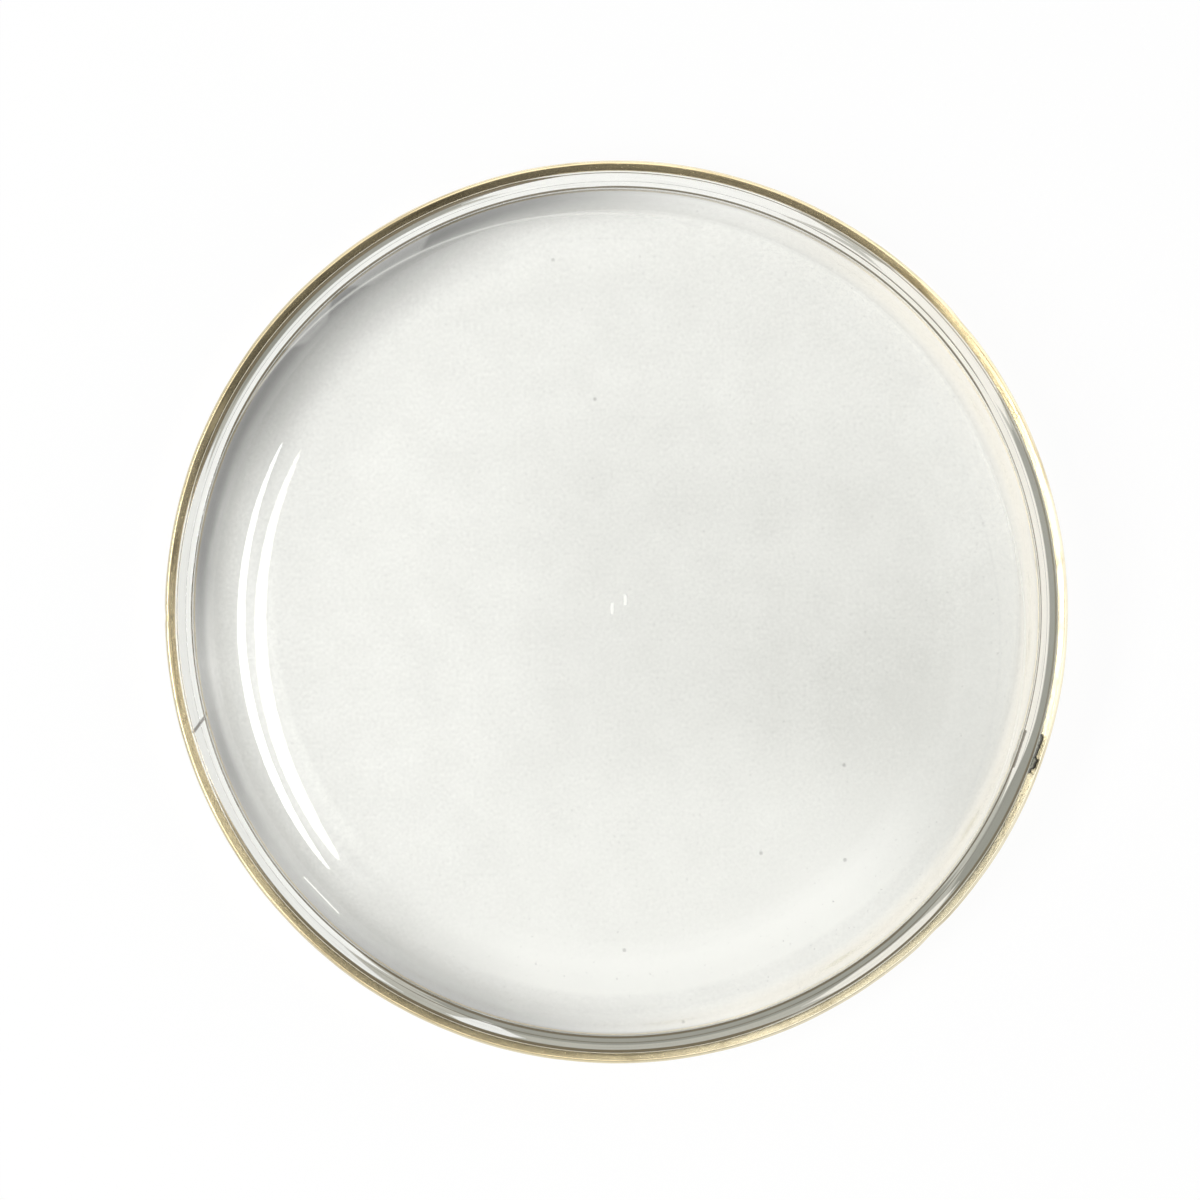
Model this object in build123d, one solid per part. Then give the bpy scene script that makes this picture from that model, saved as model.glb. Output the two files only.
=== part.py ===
from build123d import *
import os

# A round watch crystal: a clear, flat-topped dome that snaps into a gold-plated rim ring.
# Millimetres. The origin is the centre of the ring's foot, and +Z points out of the watch.

# Rim ring
rim_diameter = 32.0
ring_height = 1.30
ring_lip_width = 0.36
ring_lip_fall = 0.12
ring_edge_bevel = 0.10

# Groove in the ring's bore, which holds the pane's edge
groove_depth = 0.15
groove_mouth = 0.60
groove_root = 0.14
groove_level = 0.60

# Fit of the pane in the ring
snap_clearance = 0.02

# Pane: the dome
crown_thickness = 1.00
shoulder_radius = 2.80
inner_shoulder_radius = 2.85
wall_thickness = 0.53
wall_rise = 0.50
cove_width = 0.08

# Pane: the flange round its foot
flange_width = 0.64
flange_proud = 0.15
bevel_width = 0.38
bevel_drop = 0.30
foot_level = 0.06

# Worked out from the sizes above, from the rim inwards
rim_radius = rim_diameter / 2
bore_radius = rim_radius - ring_lip_width
skirt_radius = bore_radius - snap_clearance
land_radius = skirt_radius - bevel_width
wall_radius = skirt_radius - flange_width
inner_wall_radius = wall_radius - wall_thickness
flange_height = ring_height + flange_proud

quarter_turn = 90


def groove_reach(radius):
    """Half the groove's height at this distance from the axis. Its flanks are straight."""
    flank_slope = (groove_mouth - groove_root) / 2 / groove_depth
    return groove_mouth / 2 - (radius - bore_radius) * flank_slope


def dome_outline(wall, shoulder_arc, top):
    """Draws a flat crown from the axis outwards, and the shoulder's arc that turns it down into the wall."""
    shoulder_centre = wall - shoulder_arc
    Line((0, top), (shoulder_centre, top))
    CenterArc((shoulder_centre, top - shoulder_arc), shoulder_arc, 0, quarter_turn)


def rim_ring():
    """A turned band: bevelled outer edges, a top that slopes down to the pane, and a groove in its bore."""
    root_radius = bore_radius + groove_depth
    bevel_start = rim_radius - ring_edge_bevel
    outline = [
        (bore_radius, 0),
        (bevel_start, 0),
        (rim_radius, ring_edge_bevel),
        (rim_radius, ring_height - ring_edge_bevel),
        (bevel_start, ring_height),
        (bore_radius, ring_height - ring_lip_fall),
        (bore_radius, groove_level + groove_reach(bore_radius)),
        (root_radius, groove_level + groove_reach(root_radius)),
        (root_radius, groove_level - groove_reach(root_radius)),
        (bore_radius, groove_level - groove_reach(bore_radius)),
    ]
    with BuildPart() as ring:
        with BuildSketch(Plane.XZ) as section:
            with BuildLine():
                Polyline(*outline, close=True)
            make_face()
        revolve(axis=Axis.Z)
    return ring.part


def crystal():
    """The pane: a dome on an upright wall, and a bevelled flange whose edge seats in the ring's groove.

    The edge rests on the groove's lower flank and keeps snap_clearance from its upper flank and root.
    """
    shoulder_level = flange_height + wall_rise
    top = shoulder_level + shoulder_radius
    inner_top = top - crown_thickness
    tip_radius = bore_radius + groove_depth - snap_clearance
    bevel_foot = flange_height - bevel_drop
    flange = [
        (wall_radius, shoulder_level),
        (wall_radius, flange_height),
        (land_radius, flange_height),
        (skirt_radius, bevel_foot),
        (skirt_radius, groove_level + groove_reach(skirt_radius) - snap_clearance),
        (tip_radius, groove_level + groove_reach(tip_radius) - snap_clearance),
        (tip_radius, groove_level - groove_reach(tip_radius)),
        (skirt_radius, groove_level - groove_reach(skirt_radius)),
        (skirt_radius, foot_level),
        (inner_wall_radius, foot_level),
        (inner_wall_radius, inner_top - inner_shoulder_radius),
    ]
    with BuildPart() as pane:
        with BuildSketch(Plane.XZ) as section:
            with BuildLine():
                dome_outline(wall_radius, shoulder_radius, top)
                Polyline(*flange)
                dome_outline(inner_wall_radius, inner_shoulder_radius, inner_top)
                Line((0, inner_top), (0, top))
            make_face()
            cove = section.vertices().sort_by_distance(Vector(wall_radius, flange_height))[0]
            chamfer(cove, cove_width)
        revolve(axis=Axis.Z)
    return pane.part


def write_parts():
    """Writes one STEP file for each piece."""
    os.makedirs("parts", exist_ok=True)
    for make_piece in (rim_ring, crystal):
        piece = make_piece()
        name = make_piece.__name__
        piece.label = name
        export_step(piece, f"parts/{name}.step")
        low, high = piece.bounding_box().min, piece.bounding_box().max
        print(f"{name}: {piece.volume:.2f} mm3, from {low.Z:.2f} to {high.Z:.2f} mm high")


write_parts()
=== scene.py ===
import logging
import math
from dataclasses import dataclass
from enum import Enum
from functools import partial, reduce

import bpy
import numpy as np
from bpy.types import Material, Node, NodeSocket, NodeTree, Object
from numpy import ndarray
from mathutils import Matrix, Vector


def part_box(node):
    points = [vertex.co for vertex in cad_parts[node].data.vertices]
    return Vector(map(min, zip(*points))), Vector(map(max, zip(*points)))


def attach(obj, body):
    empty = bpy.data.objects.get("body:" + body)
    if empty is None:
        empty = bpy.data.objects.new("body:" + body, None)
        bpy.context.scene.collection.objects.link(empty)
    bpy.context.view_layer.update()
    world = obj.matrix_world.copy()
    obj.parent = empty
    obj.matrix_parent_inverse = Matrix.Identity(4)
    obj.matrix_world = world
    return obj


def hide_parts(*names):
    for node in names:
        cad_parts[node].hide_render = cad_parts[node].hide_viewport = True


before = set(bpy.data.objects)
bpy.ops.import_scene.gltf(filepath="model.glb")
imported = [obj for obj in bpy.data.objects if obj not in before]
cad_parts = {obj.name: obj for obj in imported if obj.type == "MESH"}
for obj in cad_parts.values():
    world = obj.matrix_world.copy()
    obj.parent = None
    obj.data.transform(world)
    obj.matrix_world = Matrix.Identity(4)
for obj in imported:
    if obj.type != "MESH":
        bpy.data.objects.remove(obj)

# A round watch crystal lying dome up on a pale sheet, seen from straight above.
# Lengths are metres, written as so many millimetres. Angles are degrees anticlockwise from +X.

LOG = logging.getLogger("crystal")
MM = 0.001
FULL_TURN = 2 * math.pi
Pair = tuple[float, float]
Colour = tuple[float, float, float, float]
Marks = tuple[tuple[float, float, float, float], ...]


class Slot(Enum):
    """The record's material slots."""

    PANE = "clear_pane"
    RING = "gilt_ring"


def rounded_outline(table: ndarray, closed: bool) -> ndarray:
    """Rounds all the corners of an outline at once.

    A corner with radius r, whose sides open by the angle a, is cut back by r / tan(a / 2) along both sides.
    Its points lie on the circle round the centre that is r / sin(a / 2) from it along the sides' bisector.
    Every side gets two more points, close to its ends, which keep its shading flat.

    Args:
        table: Corners in order, as rows of radius, height, rounding in millimetres, and steps of the
            rounding's arc. The last two are nought for a sharp corner.
        closed: Whether the last corner joins the first one.

    Returns:
        The rounded outline's points, as rows of radius and height.
    """
    corners, radii, steps = table[:, :2], table[:, 2] * MM, table[:, 3].astype(int)
    back = np.roll(corners, 1, axis=0) - corners
    ahead = np.roll(corners, -1, axis=0) - corners
    if not closed:
        back[0], ahead[-1] = -ahead[0], -back[-1]
    back /= np.linalg.norm(back, axis=1, keepdims=True)
    ahead /= np.linalg.norm(ahead, axis=1, keepdims=True)
    half_opening = np.arccos(np.clip((back * ahead).sum(axis=1), -1, 1)) / 2
    bisector = back + ahead
    bisector /= np.maximum(np.linalg.norm(bisector, axis=1, keepdims=True), 1e-12)
    cut = (radii / np.tan(half_opening))[:, None]
    centre = corners + bisector * (radii / np.sin(half_opening))[:, None]
    first = corners + back * cut
    last = corners + ahead * cut
    start = np.arctan2(*(first - centre).T[::-1])
    end = np.arctan2(*(last - centre).T[::-1])
    sweep = (end - start + math.pi) % FULL_TURN - math.pi
    owner = np.repeat(np.arange(len(corners)), steps + 1)
    share = np.concatenate([np.linspace(0, 1, count + 1) for count in steps])
    share[np.repeat(steps, steps + 1) == 0] = 0
    angle = start[owner] + sweep[owner] * share
    arc = centre[owner] + radii[owner][:, None] * np.stack([np.cos(angle), np.sin(angle)], axis=1)
    side_end = np.roll(first, -1, axis=0)
    near, far = 0.06, 0.94
    support = np.stack([last + (side_end - last) * near, last + (side_end - last) * far], axis=1)
    order = np.concatenate([owner * 1.0, np.repeat(np.arange(len(corners)), 2) + 0.5])
    points = np.concatenate([arc, support.reshape(-1, 2)])
    if not closed:
        points, order = points[:-2], order[:-2]
    return points[np.argsort(order, kind="stable")]


def turn_angles(count: int, windows: tuple[tuple[float, float, int], ...] = ()) -> ndarray:
    """Angles round the axis: evenly spaced, with finer windows where a small mark needs them.

    Args:
        count: How many even angles a full turn has.
        windows: The first and last angle of each window, in degrees, and its number of angles.

    Returns:
        The sorted angles in radians, from 0 to just under a full turn.
    """
    even = np.arange(count) * (FULL_TURN / count)
    fine = [np.radians(np.linspace(first, last, number)) for first, last, number in windows]
    return np.unique(np.round(np.concatenate([even, *fine]), 6))


def mesh_object(name: str, points: ndarray, quads: ndarray, triangles: ndarray) -> Object:
    """Makes a smooth mesh object at the origin from whole arrays.

    Args:
        name: The object's name.
        points: Vertices as rows of x, y and z.
        quads: Rows of four vertex numbers.
        triangles: Rows of three vertex numbers, which may be none.

    Returns:
        The linked object.
    """
    mesh = bpy.data.meshes.new(name)
    mesh.vertices.add(len(points))
    mesh.vertices.foreach_set("co", points.astype(np.float32).ravel())
    corners = np.concatenate([quads.ravel(), triangles.ravel()])
    totals = np.concatenate([np.full(len(quads), 4), np.full(len(triangles), 3)])
    mesh.loops.add(len(corners))
    mesh.loops.foreach_set("vertex_index", corners.astype(np.int32))
    mesh.polygons.add(len(totals))
    mesh.polygons.foreach_set("loop_start", (np.cumsum(totals) - totals).astype(np.int32))
    mesh.polygons.foreach_set("use_smooth", np.ones(len(totals), bool))
    mesh.update(calc_edges=True)
    mesh.validate()
    piece = bpy.data.objects.new(name, mesh)
    bpy.context.scene.collection.objects.link(piece)
    return piece


def lathe_grid(outline: ndarray, angles: ndarray) -> tuple[ndarray, ndarray, ndarray]:
    """Turns an outline round the axis.

    The point at station s and angle a is (radius(s) * cos a, radius(s) * sin a, height(s)).

    Args:
        outline: Rows of radius and height.
        angles: Angles in radians.

    Returns:
        Radius, angle and height, each as an array of stations by angles.
    """
    radius = np.repeat(outline[:, :1], len(angles), axis=1)
    height = np.repeat(outline[:, 1:], len(angles), axis=1)
    return radius, np.broadcast_to(angles, radius.shape), height


def lathe_object(name: str, radius: ndarray, angle: ndarray, height: ndarray,
                 closed: bool) -> Object:
    """Makes a turned mesh from a grid of stations by angles, closed round the axis.

    Args:
        name: The object's name.
        radius: Radius of each grid point.
        angle: Angle of each grid point, in radians.
        height: Height of each grid point.
        closed: True where the last station joins the first, as on a ring. Otherwise the first and last
            stations are drawn together to one point each on the axis.

    Returns:
        The linked object, with its faces outwards for an outline that runs anticlockwise.
    """
    stations, around = radius.shape
    points = np.stack([radius * np.cos(angle), radius * np.sin(angle), height], axis=-1).reshape(-1, 3)
    number = np.arange(stations * around).reshape(stations, around)
    if closed:
        number = np.concatenate([number, number[:1]])
    beside = np.roll(number, -1, axis=1)
    quads = np.stack([number[:-1], beside[:-1], beside[1:], number[1:]], axis=-1).reshape(-1, 4)
    triangles = np.empty((0, 3), int)
    if not closed:
        poles = np.array([[0, 0, height[0].mean()], [0, 0, height[-1].mean()]])
        top, bottom = len(points), len(points) + 1
        points = np.concatenate([points, poles])
        top_fan = np.stack([np.full(around, top), beside[0], number[0]], axis=1)
        bottom_fan = np.stack([np.full(around, bottom), number[-1], beside[-1]], axis=1)
        triangles = np.concatenate([top_fan, bottom_fan])
    return mesh_object(name, points, quads, triangles)


def outline_normals(outline: ndarray, closed: bool) -> ndarray:
    """Unit normals of an outline that runs anticlockwise: its local direction turned a quarter to the right.

    Args:
        outline: Rows of radius and height.
        closed: Whether the last point joins the first one.

    Returns:
        One row of radial and upward share for each point.
    """
    ahead, back = np.roll(outline, -1, axis=0), np.roll(outline, 1, axis=0)
    if not closed:
        ahead[-1], back[0] = outline[-1], outline[0]
    along = ahead - back
    normal = np.stack([along[:, 1], -along[:, 0]], axis=1)
    return normal / np.linalg.norm(normal, axis=1, keepdims=True)


def paint(piece: Object, name: str, values: ndarray) -> None:
    """Stores one number at each vertex, for the material to read. The two poles get their station's mean.

    Args:
        piece: A turned piece.
        name: The numbers' name.
        values: An array of stations by angles.
    """
    layer = piece.data.attributes.new(name, "FLOAT", "POINT")
    poles = values[[0, -1]].mean(axis=1)[:len(piece.data.vertices) - values.size]
    layer.data.foreach_set("value", np.concatenate([values.ravel(), poles]).astype(np.float32))


def soft_step(low: float, high: float, values: ndarray) -> ndarray:
    """A smooth ramp from 0 at low to 1 at high: t * t * (3 - 2 t)."""
    t = np.clip((values - low) / (high - low), 0, 1)
    return t * t * (3 - 2 * t)


def wander(angle: ndarray, waves: tuple[tuple[int, float, float], ...]) -> ndarray:
    """A closed wavering line round the axis: the sum of size * sin(count * angle + phase) over the waves."""
    counts, sizes, phases = (np.array(column).reshape(-1, 1, 1) for column in zip(*waves))
    return (sizes * np.sin(counts * angle[None] + phases)).sum(axis=0)


def marks(angle: ndarray, table: Marks) -> ndarray:
    """Smooth marks round the axis, the strongest of which counts where they overlap.

    Args:
        angle: Angles in radians.
        table: The first and last angle of each mark in degrees, the length of its ramps, and its strength.

    Returns:
        The strength at each angle.
    """
    first, last, ramp, strength = (np.array(column, float).reshape(-1, 1, 1) for column in zip(*table))
    middle, half = (first + last) / 2, (last - first) / 2
    distance = np.abs((np.degrees(angle)[None] - middle + 180) % 360 - 180)
    return (strength * (1 - soft_step(half - ramp, half, distance))).max(axis=0)


class NodeSheet:
    """A node tree with short ways to add nodes and join them."""

    def __init__(self, tree: NodeTree) -> None:
        """Keeps the tree."""
        self.tree = tree

    def node(self, kind: str, inputs: dict | None = None, **settings) -> Node:
        """Adds a node.

        Args:
            kind: The node's type without its ShaderNode prefix.
            inputs: Socket names or numbers, each with a value or the output that feeds it.
            settings: The node's own properties.

        Returns:
            The node.
        """
        made = self.tree.nodes.new("ShaderNode" + kind)
        for name, value in settings.items():
            setattr(made, name, value)
        for name, value in (inputs or {}).items():
            self.feed(made.inputs[name], value)
        return made

    def feed(self, socket: NodeSocket, value: object) -> None:
        """Joins an output to a socket, or sets the socket's plain value.

        Args:
            socket: The input.
            value: An output or a plain value.
        """
        if isinstance(value, NodeSocket):
            self.tree.links.new(value, socket)
        else:
            socket.default_value = value

    def math(self, operation: str, *values: object, clamp: bool = False) -> NodeSocket:
        """The result of one arithmetic step on numbers or outputs."""
        return self.node("Math", dict(enumerate(values)), operation=operation, use_clamp=clamp).outputs[0]

    def span(self, value: object, low: object, high: object, start: object = 0.0,
             end: object = 1.0) -> NodeSocket:
        """Ramps a value smoothly, and keeps it level beyond the ramp.

        Args:
            value: The value.
            low: Where the ramp starts.
            high: Where the ramp ends.
            start: What it gives at low.
            end: What it gives at high.

        Returns:
            The ramp's result.
        """
        ramp = self.node("MapRange", {"Value": value, "From Min": low, "From Max": high,
                                      "To Min": start, "To Max": end}, interpolation_type="SMOOTHSTEP")
        return ramp.outputs["Result"]

    def strongest(self, *values: object) -> NodeSocket:
        """The largest of some numbers or outputs."""
        return reduce(partial(self.math, "MAXIMUM"), values)

    def product(self, *values: object) -> NodeSocket:
        """The product of some numbers or outputs."""
        return reduce(partial(self.math, "MULTIPLY"), values)

    def vector(self, operation: str, first: object, second: object) -> NodeSocket:
        """One step on two vectors: a number for a distance or a dot product, otherwise a vector."""
        made = self.node("VectorMath", {0: first, 1: second}, operation=operation)
        return made.outputs["Value" if operation in ("DISTANCE", "DOT_PRODUCT") else "Vector"]

    def scaled(self, vector: object, factor: object) -> NodeSocket:
        """A vector times a number."""
        return self.node("VectorMath", {0: vector, "Scale": factor}, operation="SCALE").outputs[0]

    def attribute(self, name: str) -> NodeSocket:
        """A number painted on the mesh."""
        return self.node("Attribute", attribute_name=name).outputs["Fac"]

    def effect(self, group: str, output: str = "Mask", **inputs: object) -> NodeSocket:
        """One output of a shared effect, whose inputs are given by name."""
        return self.node("Group", inputs, node_tree=bpy.data.node_groups[group]).outputs[output]

    def axis_distance(self, **centre: object) -> NodeSocket:
        """The distance in millimetres from the piece's axis, or from an upright axis through X and Y."""
        return self.effect("axis_distance", "Distance", **centre)

    def grain(self, scale: float, contrast: float) -> tuple[NodeSocket, NodeSocket]:
        """The fine and the coarse mottling."""
        tree = bpy.data.node_groups["surface_grain"]
        return tuple(self.node("Group", {"Scale": scale, "Contrast": contrast}, node_tree=tree).outputs)

    def blend(self, share: object, first: object, second: object) -> NodeSocket:
        """Mixes two colours.

        Args:
            share: How much of the second colour there is.
            first: A colour or the output that gives it.
            second: The other one.

        Returns:
            The colour between them.
        """
        mixer = self.node("Mix", data_type="RGBA")
        self.feed(mixer.inputs["Factor"], share)
        self.feed(mixer.inputs[6], first)
        self.feed(mixer.inputs[7], second)
        return mixer.outputs[2]

    def millimetres(self) -> NodeSocket:
        """The place on the piece, in millimetres from its own origin."""
        return self.scaled(self.node("TexCoord").outputs["Object"], 1 / MM)


def new_material(name: str) -> tuple[Material, NodeSheet]:
    """Makes an empty node material.

    Args:
        name: The material's name.

    Returns:
        The material and its sheet.
    """
    material = bpy.data.materials.new(name)
    material.use_nodes = True
    material.node_tree.nodes.clear()
    return material, NodeSheet(material.node_tree)


def new_group(name: str, inputs: dict[str, float],
              outputs: tuple[str, ...] = ("Mask",)) -> tuple[NodeSheet, dict, Node]:
    """Makes an empty shader node group whose sockets are plain numbers.

    Args:
        name: The group's name.
        inputs: Input names with their default values.
        outputs: Output names.

    Returns:
        The group's sheet, its inputs by name, and its output node.
    """
    tree = bpy.data.node_groups.new(name, "ShaderNodeTree")
    for socket, value in inputs.items():
        tree.interface.new_socket(socket, in_out="INPUT", socket_type="NodeSocketFloat").default_value = value
    for socket in outputs:
        tree.interface.new_socket(socket, in_out="OUTPUT", socket_type="NodeSocketFloat")
    source = tree.nodes.new("NodeGroupInput")
    sink = tree.nodes.new("NodeGroupOutput")
    return NodeSheet(tree), {socket: source.outputs[socket] for socket in inputs}, sink


@dataclass(frozen=True)
class RingSizes:
    """The rim ring's section: a band whose top slopes down to the pane, with a groove in its bore."""

    rim: float
    height: float
    lip_width: float = 0.36 * MM
    lip_fall: float = 0.12 * MM
    edge_bevel: float = 0.10 * MM
    groove_depth: float = 0.15 * MM
    groove_mouth: float = 0.60 * MM
    groove_root: float = 0.14 * MM
    groove_level: float = 0.60 * MM
    nick_from: float = 338.6
    nick_to: float = 344.1
    nick_bite: float = 0.16 * MM
    nick_ledge: float = 1.05 * MM

    @property
    def bore(self) -> float:
        """The radius of the bore."""
        return self.rim - self.lip_width

    def groove_reach(self, radius: float) -> float:
        """Half the groove's height at this radius."""
        slope = (self.groove_mouth - self.groove_root) / 2 / self.groove_depth
        return self.groove_mouth / 2 - (radius - self.bore) * slope


@dataclass(frozen=True)
class PaneSizes:
    """The pane's section: a flat crown, a rounded shoulder, a wall and a bevelled flange."""

    top: float
    foot: float
    crown_thickness: float = 1.00 * MM
    shoulder: float = 2.80 * MM
    inner_shoulder: float = 2.85 * MM
    wall_thickness: float = 0.53 * MM
    flange_width: float = 0.64 * MM
    flange_height: float = 1.45 * MM
    bevel_width: float = 0.38 * MM
    bevel_drop: float = 0.30 * MM
    snap_clearance: float = 0.02 * MM


@dataclass(frozen=True)
class Mark:
    """A straight mark on the pane, in millimetres, along the pane's X and Y."""

    start: Pair
    end: Pair
    width: float
    strength: float


@dataclass(frozen=True)
class CausticLine:
    """A painted pale caustic line on the pane: its centre, radius, and the angles between which it shows."""

    centre: Pair
    radius: float
    first: float
    last: float
    strength: float
    ramp: float = 20


@dataclass(frozen=True)
class PaneWearAndLight:
    """The pane's wear and its painted shade and light: first and last angle, ramp, and strength of each mark.

    A painted shade has its marks and the radii where it starts and is full. A painted side shade has its
    strength, the direction in which it grows, and where on it it starts and is full. The haze lies
    everywhere;
    the shoulder's own painted shade lies on the right alone. Radii and places are in millimetres.
    """

    # Painted shade: a dark crescent inside the wall on the left and upper left, where the ring shades the
    # sheet, and a darker edge inside the cove.
    painted_shades: tuple[tuple[Marks, float, float], ...] = (
        (((98, 172, 26, 0.48), (222, 264, 18, 0.15)), 12.2, 13.6),
        (((73, 200, 30, 0.91), (170, 285, 34, 0.68)), 13.2, 14.9),
        (((96, 222, 22, 0.58),), 14.2, 14.6),
        (((45, 168, 18, 0.60), (212, 294, 18, 0.58), (280, 382, 16, 0.32)), 14.72, 14.86),
    )
    haze_everywhere: float = 0.18
    # Painted shade: the dome grows darker towards the right and the lower right.
    painted_side_shades: Marks = ((0.27, 11.46, -10, 8), (0.45, 300, 3, 9))
    right_shoulder_shade: float = 0.25
    shoulder: Pair = (11, 13)
    shoulder_right: Pair = (-2, 8)
    # Painted shade: a dark line in the cove between wall and flange, and another along the crease of land and
    # bevel.
    cove_shade_line: Marks = (
        (-40, 400, 20, 0.50), (20, 104, 14, 0.90), (82, 168, 16, 0.95), (160, 250, 20, 0.70),
        (226, 322, 12, 1.0), (310, 346, 8, 0.75))
    crease_shade_line: Marks = ((-40, 400, 20, 0.14), (25, 70, 12, 0.40), (232, 332, 12, 0.28))
    # Painted reflection: the gold ring mirrored as a dark line at the bevel's foot.
    ring_reflection_line: Marks = ((-40, 400, 20, 0.25), (92, 172, 14, 1.0), (196, 300, 16, 0.85), (290, 350, 12, 0.6))
    bevel_shade: Marks = ((316, 388, 12, 1.2), (104, 156, 14, 0.5))
    land_shade: Marks = ((240, 326, 16, 1.2),)
    clear_land: Marks = ((60, 240, 16, 1.3), (332, 432, 14, 1.2))
    clear_bevel: Marks = (
        (24, 57, 10, 1.25), (56, 112, 16, 1.3), (154, 242, 16, 1.15), (246.5, 258.5, 6, 1.1),
        (294, 323, 11, 0.75))
    # Painted reflection: two pale patches on the upper left, where the painted shade is thinner.
    painted_reflection_patches: Marks = ((114.5, 131.2, 5, 1.0), (131.2, 142.6, 4, 0.9))
    # Painted light: a pale crescent on the left, where light through the shoulder falls on the sheet, and a
    # lighter rim at the bottom and lower right.
    left_painted_light: Marks = ((112, 238, 40, 1.0),)
    left_crescent: tuple[float, float, float, float] = (8.3, 9.1, 9.6, 10.6)
    lower_painted_light: Marks = ((222, 340, 35, 0.9),)
    lower_rise: Pair = (10.2, 12.6)
    # Painted light: a warm glow from the gold ring inside the right of the pane.
    painted_glow_marks: Marks = ((262, 440, 40, 1.0),)
    painted_glow_rise: Pair = (13.9, 14.6)
    crack: Mark = Mark((-14.97, -4.25), (-14.45, -3.57), 0.08, 0.9)
    chip: Mark = Mark((14.05, -5.46), (14.47, -4.22), 0.07, 0.95)
    specks: tuple[Mark, ...] = tuple(Mark(place, place, 0.09, 0.45) for place in (
        (-2.22, 12.30), (-0.76, 7.44), (7.94, -5.34), (7.97, -8.65), (5.04, -8.41), (2.35, -14.38),
        (0.27, -11.80)))
    # The first two are painted highlights at the middle; the third is a white scratch on the lower left.
    white_scrapes_and_glints: tuple[Mark, ...] = (
        Mark((-0.16, 0.28), (-0.16, -0.04), 0.08, 0.8),
        Mark((0.30, 0.56), (0.30, 0.28), 0.08, 0.8),
        Mark((-10.95, -9.30), (-9.75, -10.55), 0.045, 0.8),
    )
    # Painted light: two pale caustic lines on the pane.
    caustic_lines: tuple[CausticLine, ...] = (
        CausticLine((-0.77, -0.60), 14.56, 75, 165, 0.38),
        CausticLine((-0.17, -0.97), 14.50, 275, 392, 0.25),
    )


@dataclass(frozen=True)
class GiltFinish:
    """Gold plating over brass: satin and grainy on top, paler along its outer edge, worn there and painted as
    a highlight. A painted highlight runs from its bottom round its right, and painted shade lies along its
    top.
    """

    plating: Colour = (0.77, 0.65, 0.41, 1)
    # Pale gold for the worn outer edge, and for the painted highlights.
    highlight_lift: Colour = (0.86, 0.80, 0.62, 1)
    # Dark gold for tarnish and streaks, and for the painted shade along the top.
    tarnish_and_shade: Colour = (0.30, 0.23, 0.12, 1)
    bare: Colour = (0.05, 0.04, 0.025, 1)
    chipped: Colour = (0.42, 0.42, 0.36, 1)
    roughness: float = 0.22
    grain_roughness: float = 0.08
    patch_share: float = 0.5
    streak_share: float = 0.6
    nick_floor: float = 0.01
    nick_border: float = 0.045

    def material(self, sizes: RingSizes) -> Material:
        """Builds the gold material.

        Args:
            sizes: The ring that it covers.

        Returns:
            The material.
        """
        material, sheet = new_material(Slot.RING.value)
        fine, coarse = sheet.grain(9.0, 0.9)
        # Tarnish at random, with painted shade where the ring faces the top.
        tarnish_and_shade_patches = sheet.strongest(sheet.span(coarse, 0.56, 0.75, 0.0, self.patch_share),
                                  sheet.attribute("shaded_side"))
        # Painted highlight: paler gold from the bottom round the right.
        gilt_with_highlight = sheet.blend(sheet.attribute("highlit_side"), self.plating, self.highlight_lift)
        stained_and_shaded = sheet.blend(tarnish_and_shade_patches, gilt_with_highlight, self.tarnish_and_shade)
        lines = sheet.effect("turned_lines", Lines=12.0, Breaks=5.0)
        streaked = sheet.blend(sheet.product(lines, self.streak_share), stained_and_shaded, self.tarnish_and_shade)
        # Paler along the outer edge: worn there, and painted as a highlight.
        wear_and_light = sheet.effect("edge_wear_and_sheen", Rim=sizes.rim / MM, Reach=0.10, Raggedness=0.6)
        colour = self.broken_lip(sheet, sheet.blend(wear_and_light, streaked, self.highlight_lift), sizes.bore / MM)
        rough = sheet.math("MULTIPLY_ADD", fine, self.grain_roughness, self.roughness)
        bump = sheet.node("Bump", {"Height": fine, "Strength": 0.10, "Distance": 0.02 * MM})
        gold = sheet.node("BsdfPrincipled", {"Base Color": colour, "Roughness": rough, "Metallic": 1.0,
                                             "Normal": bump.outputs["Normal"]})
        sheet.node("OutputMaterial", {"Surface": gold.outputs[0]})
        return material

    def broken_lip(self, sheet: NodeSheet, worn: NodeSocket, bore: float) -> NodeSocket:
        """Colours the nick: pale metal from the bore to the painted depth, in a thin dark border.

        Args:
            sheet: The gold's sheet.
            worn: The colour of the unbroken plating.
            bore: The bore's radius in millimetres.

        Returns:
            The colour with the nick in it.
        """
        depth = sheet.attribute("nick_depth")
        broken = sheet.math("GREATER_THAN", depth, self.nick_floor)
        edge = sheet.math("ADD", depth, bore)
        within = sheet.math("LESS_THAN", sheet.axis_distance(), edge)
        border = sheet.effect("lens_band", Middle=edge, Half=self.nick_border, Amount=broken)
        chipped = sheet.blend(sheet.product(within, broken), worn, self.chipped)
        return sheet.blend(border, chipped, self.bare)


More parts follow.
